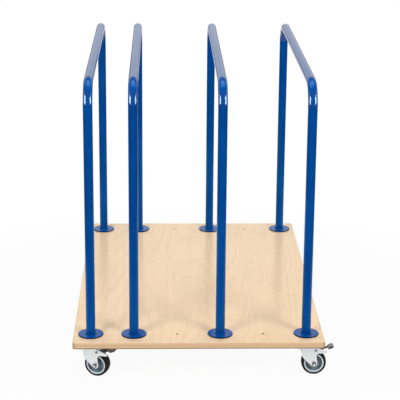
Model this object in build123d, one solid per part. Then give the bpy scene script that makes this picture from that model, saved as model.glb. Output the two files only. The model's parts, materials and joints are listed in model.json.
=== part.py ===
from build123d import *
import os
from math import atan2, cos, degrees, radians, sin, sqrt

# Transport trolley for boards: a plywood deck on four swivel castors, with four bent-tube
# hoops that stand the boards on edge. Millimetres. The origin is on the floor under the
# middle of the deck, +X runs across the deck, +Y along the hoops and +Z up.

# Deck board
deck_width = 800.0
deck_length = 1200.0
deck_thickness = 21.0
deck_corner_radius = 8.0
deck_edge_chamfer = 1.5

# Hoops: the rows of bolt holes across the deck that carry one, and how far the legs stand in from its edges
row_has_hoop = (True, True, False, True, False, True)
hoop_side_inset = 55.0
hoop_end_inset = 72.0
hoop_height = 815.0
tube_diameter = 30.0
tube_wall = 2.0
tube_bend_radius = 70.0

# Hoop feet and their bolts
flange_diameter = 80.0
flange_thickness = 4.0
flange_edge_chamfer = 0.8
weld_leg = 5.5
plug_length = 22.0
plug_bore_depth = 18.0
bolt_diameter = 8.0
bolt_length = 40.0
bolt_head_diameter = 16.0
bolt_socket_size = 5.0
bolt_socket_depth = 2.4
bolt_hole_clearance = 0.5

# Castors: overall sizes and places
castor_height = 108.0
castor_side_inset = 54.0
castor_end_inset = 57.0
castor_trail = 24.0
tread_width = 30.0
castor_turns = {"fl": -20.0, "fr": 0.0, "rl": 12.0, "rr": -8.0}
braked_castors = ("fl", "fr")

# Castor top plate and its screws
plate_width = 85.0
plate_length = 100.0
plate_thickness = 3.0
plate_corner_radius = 8.0
plate_hole_spacing_x = 60.0
plate_hole_spacing_y = 80.0
screw_diameter = 6.0
screw_depth = 15.0
screw_head_across_flats = 10.0
screw_head_height = 4.0
screw_hole_clearance = 0.3
screw_tip_clearance = 0.5

# Swivel head
kingpin_diameter = 12.0
kingpin_head_diameter = 18.0
kingpin_head_height = 1.5
kingpin_foot_diameter = 22.0
kingpin_foot_height = 2.5
swivel_gap = 3.3
ring_diameter = 40.0
ring_width = 6.0
ring_groove_depth = 1.0
crown_diameter = 60.0
crown_rim_drop = 4.0

# Pressed fork
fork_sheet = 2.5
fork_inner_width = 36.0
fork_bend_radius = 6.0
fork_lead = 17.5
fork_lead_angle = 47.0
fork_lead_radius = 40.0
fork_tip_radius = 10.5
fork_trail_lean = 7.0
hood_cover = 6.0
hood_corner_radius = 9.0
hood_overhang = 0.5
hood_nose_rise = 2.0
hood_nose_height = 6.5
hood_nose_radius = 2.0
hood_shoulder = 8.0

# Wheel
tyre_depth = 8.5
tyre_crown = 1.2
tyre_shoulder = 2.5
rim_depth = 4.0
rim_lip = 0.5
web_thickness = 8.0
hub_diameter = 24.0
hub_side_gap = 0.4
core_draft = 1.0
core_edge_radius = 0.5
hub_root_radius = 2.0
dish_radius = 6.0

# Axle
axle_diameter = 8.0
axle_head_across_flats = 13.0
axle_head_height = 5.3
axle_nut_height = 7.5
axle_nut_collar_height = 2.6
axle_nut_collar_diameter = 11.6
axle_end = 1.5
sleeve_diameter = 12.0

# Brake
brake_pivot_ahead = 5.0
brake_eye_gap = 0.5
brake_pin_diameter = 5.0
brake_pin_head_diameter = 8.0
brake_pin_head_height = 1.5
brake_eye_diameter = 10.0
brake_eye_side_gap = 0.5
pedal_sheet = 2.5
lever_width = 30.0
lever_length = 25.0
lever_corner_radius = 6.0
neck_width = 13.0
pedal_bend_at = 27.0
pedal_reach = 57.0
pedal_rise = 11.0
pad_length = 19.0
pad_width = 32.0
pad_depth = 5.0
pad_corner_radius = 7.0
pad_edge_radius = 1.2
shoe_start = 7.0
shoe_length = 15.0
shoe_width = 24.0
brake_travel = 15.0
spring_room = 8.7
spring_sheet = 1.0
spring_width = 14.0
spring_seat_length = 9.0
spring_seat_gap = 1.0

# Fits, and how far a cut runs past the face it opens
running_clearance = 0.05
press_clearance = 0.02
contact_clearance = 0.3
cut_overrun = 1.0

# Levels and radii that follow from the driving dimensions
deck_top = castor_height + deck_thickness
tube_radius = tube_diameter / 2
tube_bore_radius = tube_radius - tube_wall
bolt_radius = bolt_diameter / 2
bolt_hole_radius = bolt_radius + bolt_hole_clearance
bolt_head_height = (bolt_head_diameter - bolt_diameter) / 2
plate_under = castor_height - plate_thickness
crown_top = plate_under - swivel_gap
crown_under = crown_top - fork_sheet
wheel_diameter = crown_under - spring_room - brake_eye_diameter - brake_eye_gap
wheel_radius = wheel_diameter / 2
fork_outer_width = fork_inner_width + 2 * fork_sheet
kingpin_radius = kingpin_diameter / 2
screw_radius = screw_diameter / 2
rim_radius = wheel_radius - tyre_depth
axle_radius = axle_diameter / 2
brake_pin_radius = brake_pin_diameter / 2
brake_pivot_x = castor_trail + brake_pivot_ahead
brake_pivot_above = wheel_radius + brake_eye_gap + brake_eye_diameter / 2
brake_pivot_z = wheel_radius + brake_pivot_above

row_pitch = (deck_width - 2 * hoop_side_inset) / (len(row_has_hoop) - 1)
row_x = [hoop_side_inset - deck_width / 2 + row * row_pitch for row in range(len(row_has_hoop))]
hoop_x = [x for x, fitted in zip(row_x, row_has_hoop) if fitted]
leg_y = (hoop_end_inset - deck_length / 2, deck_length / 2 - hoop_end_inset)
castor_place = {
    "fl": (castor_side_inset - deck_width / 2, castor_end_inset - deck_length / 2),
    "fr": (deck_width / 2 - castor_side_inset, castor_end_inset - deck_length / 2),
    "rl": (castor_side_inset - deck_width / 2, deck_length / 2 - castor_end_inset),
    "rr": (deck_width / 2 - castor_side_inset, deck_length / 2 - castor_end_inset),
}
plate_holes = [
    (sx * plate_hole_spacing_x / 2, sy * plate_hole_spacing_y / 2) for sx in (-1, 1) for sy in (-1, 1)
]


def turned(*outline):
    """A solid of revolution about Z from (radius, height) corners."""
    return revolve(Plane.XZ * make_face(Polyline(*outline, close=True)), Axis.Z)


def upright(radius, low, high):
    """A cylinder about Z between two heights."""
    return Pos(0, 0, low) * Cylinder(radius, high - low, align=(Align.CENTER, Align.CENTER, Align.MIN))


def across(radius, start, end):
    """A cylinder along Y between two places on that axis."""
    return Rot(90, 0, 0) * upright(radius, -end, -start)


def hexagon_across(across_flats, start, end):
    """A hexagonal prism along Y between two places on that axis."""
    outline = RegularPolygon(across_flats / 2, 6, major_radius=False)
    return Rot(90, 0, 0) * Pos(0, 0, -end) * extrude(outline, end - start)


def side_plate(outline, width):
    """An outline in the XZ plane carried across Y to a width centred on Y = 0."""
    return extrude(Plane.XZ * make_face(outline), width / 2, both=True)


def at_castor(name, shape):
    """A castor's piece set at its corner and turned to its swivel angle."""
    x, y = castor_place[name]
    return Pos(x, y, 0) * Rot(0, 0, castor_turns[name]) * shape


def deck_board():
    board = Pos(0, 0, castor_height + deck_thickness / 2) * Box(deck_width, deck_length, deck_thickness)
    board = fillet(board.edges().filter_by(Axis.Z), deck_corner_radius)
    rims = board.faces().sort_by(Axis.Z)[0].edges() + board.faces().sort_by(Axis.Z)[-1].edges()
    board = chamfer(rims, deck_edge_chamfer)
    head_radius = bolt_head_diameter / 2 + bolt_hole_clearance
    cone_height = head_radius - bolt_hole_radius
    bolt_hole = turned(
        (0, castor_height - cut_overrun),
        (head_radius + cut_overrun, castor_height - cut_overrun),
        (bolt_hole_radius, castor_height + cone_height),
        (bolt_hole_radius, deck_top + cut_overrun),
        (0, deck_top + cut_overrun),
    )
    board -= [Pos(x, y, 0) * bolt_hole for x in row_x for y in leg_y]
    pilot_top = castor_height + screw_depth + screw_tip_clearance
    pilot = upright(screw_radius + press_clearance, castor_height - cut_overrun, pilot_top)
    board -= [
        Pos(cx + hx, cy + hy, 0) * pilot for cx, cy in castor_place.values() for hx, hy in plate_holes
    ]
    return board


def hoop_tube(x):
    foot = deck_top + flange_thickness
    top = deck_top + hoop_height
    front, rear = leg_y
    path = FilletPolyline(
        (x, front, foot), (x, front, top), (x, rear, top), (x, rear, foot), radius=tube_bend_radius
    )
    ring = Circle(tube_radius) - Circle(tube_bore_radius)
    return sweep(Plane((x, front, foot), x_dir=(1, 0, 0), z_dir=(0, 0, 1)) * ring, path)


def foot_flange():
    """Round foot with the weld fillet that runs round the tube."""
    top = deck_top + flange_thickness
    inner = tube_radius + press_clearance
    outer = flange_diameter / 2
    return turned(
        (bolt_hole_radius, deck_top),
        (outer, deck_top),
        (outer, top - flange_edge_chamfer),
        (outer - flange_edge_chamfer, top),
        (inner + weld_leg, top),
        (inner, top + weld_leg),
        (inner, top),
        (bolt_hole_radius, top),
    )


def thread_plug():
    """Plug in the tube's end with a blind threaded hole for the foot bolt."""
    foot = deck_top + flange_thickness
    bore = bolt_radius + running_clearance
    return turned(
        (bore, foot),
        (tube_bore_radius - press_clearance, foot),
        (tube_bore_radius - press_clearance, foot + plug_length),
        (0, foot + plug_length),
        (0, foot + plug_bore_depth),
        (bore, foot + plug_bore_depth),
    )


def foot_bolt():
    """Countersunk socket bolt, flush with the underside of the deck."""
    blank = turned(
        (0, castor_height),
        (bolt_head_diameter / 2, castor_height),
        (bolt_radius, castor_height + bolt_head_height),
        (bolt_radius, castor_height + bolt_length),
        (0, castor_height + bolt_length),
    )
    socket = extrude(RegularPolygon(bolt_socket_size / 2, 6, major_radius=False), bolt_socket_depth)
    return blank - Pos(0, 0, castor_height) * socket


def plate_screw():
    """Hexagon-head wood screw that holds a castor's plate to the deck from below."""
    head = extrude(RegularPolygon(screw_head_across_flats / 2, 6, major_radius=False), screw_head_height)
    shank = upright(screw_radius, plate_under, castor_height + screw_depth)
    return Pos(0, 0, plate_under - screw_head_height) * head + shank


def top_plate():
    plate = Pos(0, 0, castor_height - plate_thickness / 2) * Box(plate_width, plate_length, plate_thickness)
    plate = fillet(plate.edges().filter_by(Axis.Z), plate_corner_radius)
    low, high = plate_under - cut_overrun, castor_height + cut_overrun
    screw_hole = upright(screw_radius + screw_hole_clearance, low, high)
    plate -= [Pos(hx, hy, 0) * screw_hole for hx, hy in plate_holes]
    plate -= upright(kingpin_radius + press_clearance, low, high)
    plate -= upright(kingpin_head_diameter / 2 + press_clearance, castor_height - kingpin_head_height, high)
    return plate - ring_groove(plate_under, plate_under + ring_groove_depth)


def ring_groove(low, high):
    """Ring-shaped cut that takes one half of the slide ring."""
    half = ring_width / 2 + contact_clearance
    return upright(ring_diameter / 2 + half, low, high) - upright(ring_diameter / 2 - half, low, high)


def slide_ring():
    low = crown_top - ring_groove_depth
    high = plate_under + ring_groove_depth - contact_clearance
    half = ring_width / 2
    return upright(ring_diameter / 2 + half, low, high) - upright(ring_diameter / 2 - half, low, high)


def kingpin():
    foot_top = crown_under - contact_clearance
    head_under = castor_height - kingpin_head_height
    return turned(
        (0, foot_top - kingpin_foot_height),
        (kingpin_foot_diameter / 2, foot_top - kingpin_foot_height),
        (kingpin_foot_diameter / 2, foot_top),
        (kingpin_radius, foot_top),
        (kingpin_radius, head_under),
        (kingpin_head_diameter / 2, head_under),
        (kingpin_head_diameter / 2, castor_height),
        (0, castor_height),
    )


def cheek_outline():
    """Side outline of the fork: curved leading edge, round tip at the axle, hood over the wheel."""
    lead_normal = radians(180 + fork_lead_angle)
    trail_normal = radians(360 + fork_trail_lean)
    middle = (lead_normal + trail_normal) / 2
    corner = fork_tip_radius / cos((trail_normal - lead_normal) / 2)
    lead_x = -fork_lead
    lead_drop = (fork_tip_radius - (lead_x - castor_trail) * cos(lead_normal)) / sin(lead_normal)
    hood_z = wheel_diameter - hood_cover
    hood_rise = hood_z - wheel_radius
    inner_x = castor_trail + (fork_tip_radius - hood_rise * sin(trail_normal)) / cos(trail_normal)
    nose_x = castor_trail + wheel_radius + hood_overhang
    nose_z = hood_z + hood_nose_rise
    return FilletPolyline(
        (lead_x, crown_top),
        (lead_x, wheel_radius + lead_drop),
        (castor_trail + corner * cos(middle), wheel_radius + corner * sin(middle)),
        (inner_x, hood_z),
        (nose_x, nose_z),
        (nose_x, nose_z + hood_nose_height),
        (hood_shoulder, crown_top),
        radius=[
            hood_nose_radius,
            fork_lead_radius,
            fork_tip_radius,
            hood_corner_radius,
            hood_nose_radius,
            hood_nose_radius,
            hood_corner_radius,
        ],
        close=True,
    )


def fork(braked):
    reach = castor_trail + wheel_radius + hood_overhang + cut_overrun
    outer = Box(2 * reach, fork_outer_width, 2 * crown_top)
    outer = fillet(outer.edges().filter_by(Axis.X).group_by(Axis.Z)[-1], fork_bend_radius)
    inner = Box(2 * reach, fork_inner_width, 2 * crown_under)
    inner = fillet(inner.edges().filter_by(Axis.X).group_by(Axis.Z)[-1], fork_bend_radius - fork_sheet)
    bent_sheet = (outer - inner) & side_plate(cheek_outline(), fork_outer_width)
    crown_radius = crown_diameter / 2
    crown = turned(
        (0, crown_under),
        (crown_radius - fork_sheet, crown_under),
        (crown_radius - fork_sheet, crown_under - crown_rim_drop),
        (crown_radius, crown_under - crown_rim_drop),
        (crown_radius, crown_top - fork_sheet / 2),
        (crown_radius - fork_sheet / 2, crown_top),
        (0, crown_top),
    )
    body = bent_sheet + crown
    body -= upright(kingpin_radius + running_clearance, crown_under - cut_overrun, crown_top + cut_overrun)
    body -= ring_groove(crown_top - ring_groove_depth, crown_top)
    body -= Pos(castor_trail, 0, wheel_radius) * across(
        axle_radius + running_clearance, -fork_outer_width, fork_outer_width
    )
    if braked:
        body -= Pos(brake_pivot_x, 0, brake_pivot_z) * across(
            brake_pin_radius + press_clearance, -fork_outer_width, fork_outer_width
        )
    return body


def tyre():
    half = tread_width / 2
    seat = rim_radius + press_clearance
    tread_edge = wheel_radius - tyre_crown
    side_edge = tread_edge - tyre_shoulder
    tread_half = half - tyre_shoulder
    bulge = tyre_shoulder * sqrt(0.5)
    tread = ThreePointArc((tread_edge, -tread_half), (wheel_radius, 0), (tread_edge, tread_half))
    shoulders = [
        ThreePointArc(
            (tread_edge, side * tread_half),
            (side_edge + bulge, side * (tread_half + bulge)),
            (side_edge, side * half),
        )
        for side in (-1, 1)
    ]
    sides = Polyline((side_edge, half), (seat, half), (seat, -half), (side_edge, -half))
    ring = revolve(Plane.XZ * make_face([tread, sides] + shoulders), Axis.Z)
    return Pos(castor_trail, 0, wheel_radius) * Rot(90, 0, 0) * ring


def wheel_core():
    rim_half = tread_width / 2 + rim_lip
    hub_half = fork_inner_width / 2 - hub_side_gap
    web_half = web_thickness / 2
    bore = sleeve_diameter / 2 + running_clearance
    hub = hub_diameter / 2
    rim_inner = rim_radius - rim_depth
    half_outline = [
        (bore, hub_half),
        (hub - core_draft, hub_half),
        (hub, web_half),
        (rim_inner - core_draft, web_half),
        (rim_inner, rim_half),
        (rim_radius, rim_half),
    ]
    half_rounding = [
        core_edge_radius,
        core_edge_radius,
        hub_root_radius,
        dish_radius,
        core_edge_radius,
        core_edge_radius,
    ]
    outline = FilletPolyline(
        *half_outline,
        *[(r, -y) for r, y in reversed(half_outline)],
        radius=half_rounding + half_rounding[::-1],
        close=True,
    )
    core = revolve(Plane.XZ * make_face(outline), Axis.Z)
    return Pos(castor_trail, 0, wheel_radius) * Rot(90, 0, 0) * core


def axle_sleeve():
    half = fork_inner_width / 2
    tube = across(sleeve_diameter / 2, -half, half) - across(axle_radius + running_clearance, -half, half)
    return Pos(castor_trail, 0, wheel_radius) * tube


def axle_bolt():
    half = fork_outer_width / 2
    shank = across(axle_radius, -half - axle_nut_height - axle_end, half)
    head = hexagon_across(axle_head_across_flats, half, half + axle_head_height)
    return Pos(castor_trail, 0, wheel_radius) * (shank + head)


def axle_nut():
    """Lock nut: a hexagon with a round collar."""
    half = fork_outer_width / 2
    end = -half - axle_nut_height
    shelf = end + axle_nut_collar_height
    nut = hexagon_across(axle_head_across_flats, shelf, -half)
    nut += across(axle_nut_collar_diameter / 2, end, shelf)
    nut -= across(axle_radius + press_clearance, end - cut_overrun, cut_overrun - half)
    return Pos(castor_trail, 0, wheel_radius) * nut


def brake_pin():
    half = fork_outer_width / 2
    pin = across(brake_pin_radius, -half, half)
    heads = [
        across(brake_pin_head_diameter / 2, half, half + brake_pin_head_height),
        across(brake_pin_head_diameter / 2, -half - brake_pin_head_height, -half),
    ]
    return Pos(brake_pivot_x, 0, brake_pivot_z) * (pin + heads)


def pad_outline(inset):
    """The foot pad seen square on, drawn in all round by an inset. Its free end is at X = 0."""
    blank = Pos(-pad_length / 2, 0) * Rectangle(pad_length - 2 * inset, pad_width - 2 * inset)
    return fillet(blank.vertices(), pad_corner_radius - inset)


def foot_pad():
    """Pressed tray, open below, whose top face lies at Z = 0."""
    tray = Pos(0, 0, -pad_depth) * extrude(pad_outline(0), pad_depth)
    tray = fillet(tray.faces().sort_by(Axis.Z)[-1].edges(), pad_edge_radius)
    hollow = extrude(pad_outline(pedal_sheet), pad_depth)
    return tray - Pos(0, 0, -pedal_sheet - pad_depth) * hollow


def brake_pedal():
    """Sheet lever on an eye round the pin, flat over the wheel, with a neck bent up to the foot pad."""
    half = pedal_sheet / 2
    run = pedal_reach - pedal_bend_at
    slope = sqrt(run**2 + pedal_rise**2)
    joined = 1 - pad_length / 2 / slope
    end_x, end_z = pedal_bend_at + run * joined, pedal_rise * joined
    across_x, across_z = half * pedal_rise / slope, half * run / slope
    mitre = half * (slope - run) / pedal_rise
    neck = side_plate(
        Polyline(
            (0, -half),
            (pedal_bend_at + mitre, -half),
            (end_x + across_x, end_z - across_z),
            (end_x - across_x, end_z + across_z),
            (pedal_bend_at - mitre, half),
            (0, half),
            close=True,
        ),
        neck_width,
    )
    blank = Pos(lever_length / 2, 0) * Rectangle(lever_length, lever_width)
    blank = fillet(blank.vertices().group_by(Axis.X)[-1], lever_corner_radius)
    lever = Pos(0, 0, -half) * extrude(blank, pedal_sheet) + neck
    tilt = degrees(atan2(pedal_rise, run))
    lever += Pos(pedal_reach, 0, pedal_rise) * Rot(0, -tilt, 0) * Pos(0, 0, half) * foot_pad()
    eye_half = fork_inner_width / 2 - brake_eye_side_gap
    lever += across(brake_eye_diameter / 2, -eye_half, eye_half)
    lever -= across(brake_pin_radius + running_clearance, -fork_inner_width, fork_inner_width)
    return Pos(brake_pivot_x, 0, brake_pivot_z) * lever


def brake_shoe():
    """Pad under the lever whose hollow face meets the tread when the pedal is down."""
    press = radians(brake_travel)
    axle_x = brake_pivot_ahead * -cos(press) + brake_pivot_above * sin(press)
    axle_z = -brake_pivot_ahead * sin(press) - brake_pivot_above * cos(press)
    radius = wheel_radius + contact_clearance
    top = -pedal_sheet / 2
    start, end = shoe_start, shoe_start + shoe_length

    def on_tread(x):
        return (x, axle_z + sqrt(radius**2 - (x - axle_x) ** 2))

    hollow = ThreePointArc(on_tread(start), on_tread((start + end) / 2), on_tread(end))
    sides = Polyline(on_tread(end), (end, top), (start, top), on_tread(start))
    return Pos(brake_pivot_x, 0, brake_pivot_z) * side_plate([hollow, sides], shoe_width)


def brake_spring():
    """Leaf under the crown that bears on the pedal's eye."""
    seat_start = kingpin_foot_diameter / 2 + spring_seat_gap
    seat_end = seat_start + spring_seat_length
    eye_top = brake_pivot_z + brake_eye_diameter / 2 + contact_clearance
    leaf = side_plate(
        Polyline(
            (seat_start, crown_under),
            (seat_end, crown_under),
            (brake_pivot_x, eye_top + spring_sheet),
            (brake_pivot_x, eye_top),
            (seat_end - spring_sheet, crown_under - spring_sheet),
            (seat_start, crown_under - spring_sheet),
            close=True,
        ),
        spring_width,
    )
    return leaf


def group(shapes):
    """Separate solids kept together in one node."""
    return Compound(children=[solid for shape in shapes for solid in shape.solids()])


def all_nodes():
    nodes = {"deck_board": deck_board()}
    for number, x in enumerate(hoop_x, start=1):
        nodes[f"hoop_{number}_tube"] = hoop_tube(x)
        nodes[f"hoop_{number}_flanges"] = group(Pos(x, y, 0) * foot_flange() for y in leg_y)
    legs = [(x, y) for x in hoop_x for y in leg_y]
    nodes["hoop_thread_plugs"] = group(Pos(x, y, 0) * thread_plug() for x, y in legs)
    nodes["hoop_bolts"] = group(Pos(x, y, 0) * foot_bolt() for x, y in legs)
    screws = [(cx + hx, cy + hy) for cx, cy in castor_place.values() for hx, hy in plate_holes]
    nodes["castor_plate_screws"] = group(Pos(x, y, 0) * plate_screw() for x, y in screws)
    for name, (cx, cy) in castor_place.items():
        braked = name in braked_castors
        nodes[f"castor_{name}_plate"] = Pos(cx, cy, 0) * top_plate()
        nodes[f"castor_{name}_kingpin"] = Pos(cx, cy, 0) * kingpin()
        turning = {
            "fork": fork(braked),
            "slide_ring": slide_ring(),
            "tyre": tyre(),
            "wheel_core": wheel_core(),
            "axle_sleeve": axle_sleeve(),
            "axle_bolt": axle_bolt(),
            "axle_nut": axle_nut(),
        }
        if braked:
            turning["brake_pin"] = brake_pin()
            turning["brake_pedal"] = brake_pedal()
            turning["brake_shoe"] = brake_shoe()
            turning["brake_spring"] = brake_spring()
        for piece, shape in turning.items():
            nodes[f"castor_{name}_{piece}"] = at_castor(name, shape)
    return nodes


os.makedirs("parts", exist_ok=True)
for node_name, node_shape in all_nodes().items():
    export_step(node_shape, f"parts/{node_name}.step")
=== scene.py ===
import json
import math

import bmesh
import bpy
import numpy as np
from bpy.props import FloatProperty, FloatVectorProperty, IntProperty, PointerProperty
from mathutils import Matrix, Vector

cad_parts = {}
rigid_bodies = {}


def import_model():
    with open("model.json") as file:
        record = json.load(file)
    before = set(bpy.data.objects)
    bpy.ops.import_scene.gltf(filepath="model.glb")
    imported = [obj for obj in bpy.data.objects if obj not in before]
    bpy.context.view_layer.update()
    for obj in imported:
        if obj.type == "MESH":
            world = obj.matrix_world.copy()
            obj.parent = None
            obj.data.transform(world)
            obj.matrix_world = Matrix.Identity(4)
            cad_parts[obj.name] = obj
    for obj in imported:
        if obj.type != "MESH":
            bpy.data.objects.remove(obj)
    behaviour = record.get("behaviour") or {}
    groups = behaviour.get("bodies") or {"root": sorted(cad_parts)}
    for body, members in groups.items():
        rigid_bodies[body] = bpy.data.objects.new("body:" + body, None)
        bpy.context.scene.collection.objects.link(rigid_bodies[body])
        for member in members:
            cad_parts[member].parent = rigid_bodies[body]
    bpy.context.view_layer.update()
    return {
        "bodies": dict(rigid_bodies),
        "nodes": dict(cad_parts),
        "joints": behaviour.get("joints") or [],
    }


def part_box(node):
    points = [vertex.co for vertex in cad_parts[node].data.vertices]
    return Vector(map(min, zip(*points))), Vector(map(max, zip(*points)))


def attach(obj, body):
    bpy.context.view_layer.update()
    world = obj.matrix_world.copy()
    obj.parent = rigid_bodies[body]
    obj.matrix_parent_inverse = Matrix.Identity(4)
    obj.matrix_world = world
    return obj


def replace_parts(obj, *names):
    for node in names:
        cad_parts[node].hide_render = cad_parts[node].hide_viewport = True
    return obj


for leftover in list(bpy.data.objects):
    bpy.data.objects.remove(leftover)
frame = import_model()

bl_info = {
    "name": "Board Trolley",
    "version": (1, 0, 0),
    "blender": (4, 5, 0),
    "location": "View3D > Sidebar > Trolley",
    "description": "Dresses the packed board trolley with its surfaces, finishes, light and camera",
    "category": "Object",
}

MM = 0.001
HOOPS = sorted(n for n in frame["nodes"] if n.startswith("hoop_") and n.endswith("_tube"))
CASTORS = sorted(n.split("_")[1] for n in frame["nodes"] if n.endswith("_fork"))
BRAKED = [c for c in CASTORS if f"castor_{c}_brake" in frame["bodies"]]
JOINTS = {joint["name"]: joint for joint in frame["joints"]}
UP = np.array((0.0, 0.0, 1.0))
HEXAGON_CORNER = 1.16  # Just past a hexagon's corner, by the distance to its flats
DECK_PLIES = 15
BIRCH_HILLS = (  # Middle, half width, half length and height of the hills in the deck's figure
    (-0.035, -0.21, 0.032, 0.13, 0.17),
    (-0.125, 0.03, 0.026, 0.15, 0.13),
    (0.22, 0.18, 0.03, 0.22, 0.12),
)
LAMPS = (  # Name, power, place, aim, width and height, and whether it serves the tubes' gloss alone
    ("front_light_1", "key_power", (-2.67855, -3.490755, 3.3), (0.0, 0.0, 0.45), (1.6, 1.6), False),
    ("side_strip_1", "strip_power", (-3.3, -1.7, 1.75), (0.0, -0.4, 1.75), (1.8, 1.6), True),
    ("front_light_3", "key_power", (2.67855, -3.490755, 3.3), (0.0, 0.0, 0.45), (1.6, 1.6), False),
    ("side_strip_3", "strip_power", (3.3, -1.7, 1.75), (0.0, -0.4, 1.75), (1.8, 1.6), True),
    ("over_strip", "over_power", (0.0, -0.1, 2.68), (0.0, -0.05, 0.9), (2.4, 1.1), True),
    ("top_light", "top_power", (0.0, 0.6, 3.4), (0.0, 0.0, 0.3), (3.0, 2.2), False),
)
# Where the white fades for gloss: the paper's sides and front on the floor, and the backdrop's sides and top
# by direction. Then the white that is left off the paper, and the squares of the shadow's fading distances
PAPER_SIDES = (1.2, 1.6)
PAPER_FRONT = (-1.25, -0.85)
BACKDROP_SIDES = (-0.30, -0.02)
BACKDROP_TOP = (0.30, 0.60)
OFF_PAPER = 0.08
SHADOW_FADE = (0.45, 1.8)


def node_size(node):
    """Lengths of a CAD node's box along X, Y and Z."""
    low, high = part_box(node)
    return high - low


# Sizes and colours that a user would change


def length(label, about, default):
    return FloatProperty(name=label, description=about, default=default, min=0.0, unit="LENGTH", precision=5)


def share(label, about, default):
    return FloatProperty(name=label, description=about, default=default, min=0.0, max=1.0, subtype="FACTOR")


def count(label, about, default):
    return IntProperty(name=label, description=about, default=default, min=3)


def power(label, about, default):
    return FloatProperty(name=label, description=about, default=default, min=0.0, unit="POWER")


def angle(label, about, default):
    return FloatProperty(name=label, description=about, default=default, subtype="ANGLE")


def colour(label, about, default):
    return FloatVectorProperty(
        name=label, description=about, default=default, size=3, min=0.0, max=1.0, subtype="COLOR"
    )


class TrolleyHoopSizes(bpy.types.PropertyGroup):
    """Sizes of the bent tubes and their welded feet"""

    tube_radius: length("Tube radius", "Outer radius of the tube", node_size(HOOPS[0]).x / 2)
    bend_radius: length("Bend radius", "Radius of the bends at the tube's centreline", 70 * MM)
    bend_flattening: share("Bend flattening", "How much the tube flattens in the middle of a bend", 0.03)
    tube_sides: count("Tube sides", "Steps round the tube", 72)
    bend_steps: count("Bend steps", "Steps along one bend", 40)
    flange_radius: length("Flange radius", "Radius of the round foot", node_size("hoop_1_flanges").x / 2)
    flange_thickness: length("Flange thickness", "Height of the round foot", 4 * MM)
    flange_rounding: length("Flange rounding", "Rounding of the foot's upper edge", 0.9 * MM)
    # The coat on this rim is darkened as painted shade.
    flange_rim: length("Flange rim", "Width of the rim where the coat has run and dries darker", 2.0 * MM)
    weld_leg: length("Weld leg", "Height and width of the weld round the tube", 5.4 * MM)
    weld_ripple: length("Weld ripple", "Depth of the ripples in the weld", 0.35 * MM)
    weld_ripples: count("Weld ripples", "Ripples round one foot", 46)
    foot_sides: count("Foot sides", "Steps round a foot", 184)


class TrolleyCastorSizes(bpy.types.PropertyGroup):
    """Sizes of the wheels, axles and brake levers"""

    wheel_radius: length("Wheel radius", "Radius at the middle of the tread", 40 * MM)
    tread_half: length("Half tread", "Half the tyre's width", 15 * MM)
    tread_crown: length("Tread crown", "How much the tread falls from its middle to its edges", 1.2 * MM)
    shoulder: length("Shoulder", "Rounding between tread and side of the tyre", 2.5 * MM)
    side_groove: length("Side groove", "Depth of the moulded groove in the tyre's side", 0.4 * MM)
    rim_radius: length("Rim radius", "Outer radius of the wheel core", 31.5 * MM)
    rim_inner: length("Rim inner radius", "Inner radius of the pale rim ring", 27.5 * MM)
    rim_half: length("Half rim", "Half the rim's width", 15.5 * MM)
    web_half: length("Half web", "Half the thickness of the web in the dish", 4 * MM)
    hub_radius: length("Hub radius", "Outer radius of the hub", 12 * MM)
    hub_half: length("Half hub", "Half the hub's width", 17.6 * MM)
    bore_radius: length("Bore radius", "Radius of the hub's bore", 6.05 * MM)
    wheel_sides: count("Wheel sides", "Steps round a wheel", 128)
    fork_half: length("Half fork", "Half the fork's outer width", 20.5 * MM)
    axle_radius: length("Axle radius", "Radius of the axle bolt", 4 * MM)
    axle_flat: length("Flat radius", "Distance from the axle to a flat of the nut or bolt head", 6.5 * MM)
    nut_height: length("Nut height", "Height of the lock nut", 7.5 * MM)
    nut_collar: length("Nut collar", "Height of the lock nut's round collar", 2.6 * MM)
    bolt_end: length("Bolt end", "How far the bolt stands out of the nut", 1.5 * MM)
    bolt_head: length("Bolt head", "Height of the bolt's head", 5.3 * MM)
    thread_pitch: length("Thread pitch", "Rise of the axle thread in one turn", 1.25 * MM)
    pedal_sheet: length("Pedal sheet", "Thickness of the brake lever's sheet", 2.5 * MM)
    lever_width: length("Lever width", "Width of the lever over the wheel", 30 * MM)
    lever_length: length("Lever length", "Distance from the pivot to where the lever narrows", 25 * MM)
    lever_corner: length("Lever corner", "Rounding of the lever's corners", 6 * MM)
    neck_width: length("Neck width", "Width of the neck between lever and pad", 13 * MM)
    pedal_bend: length("Pedal bend", "Distance from the pivot to the bend in the neck", 27 * MM)
    bend_softness: length("Bend softness", "Half the length of the neck's bend", 4 * MM)
    pedal_reach: length("Pedal reach", "Distance from the pivot to the pad's free end", 56.95 * MM)
    pedal_rise: length("Pedal rise", "Height of the pad's free end above the pivot", 11 * MM)
    pad_length: length("Pad length", "Length of the foot pad", 19 * MM)
    pad_width: length("Pad width", "Width of the foot pad", 32 * MM)
    pad_depth: length("Pad depth", "Depth of the pad's turned-down edge", 5 * MM)
    pad_corner: length("Pad corner", "Rounding of the pad's corners", 7 * MM)
    pad_edge: length("Pad edge", "Rounding of the pad's upper edge", 1.2 * MM)
    rib_pitch: length("Rib pitch", "Distance from one grip rib of the pad to the next", 4.2 * MM)
    rib_height: length("Rib height", "Height of the grip ribs", 0.5 * MM)
    eye_radius: length("Eye radius", "Outer radius of the lever's eye", 5 * MM)
    eye_half: length("Half eye", "Half the eye's width", 17.5 * MM)
    pin_radius: length("Pin radius", "Radius of the brake pin's hole", 2.55 * MM)
    hexagon_sides: count("Hexagon sides", "Steps round a nut or a bolt", 96)
    eye_sides: count("Eye sides", "Steps round the lever's eye", 64)


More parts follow.
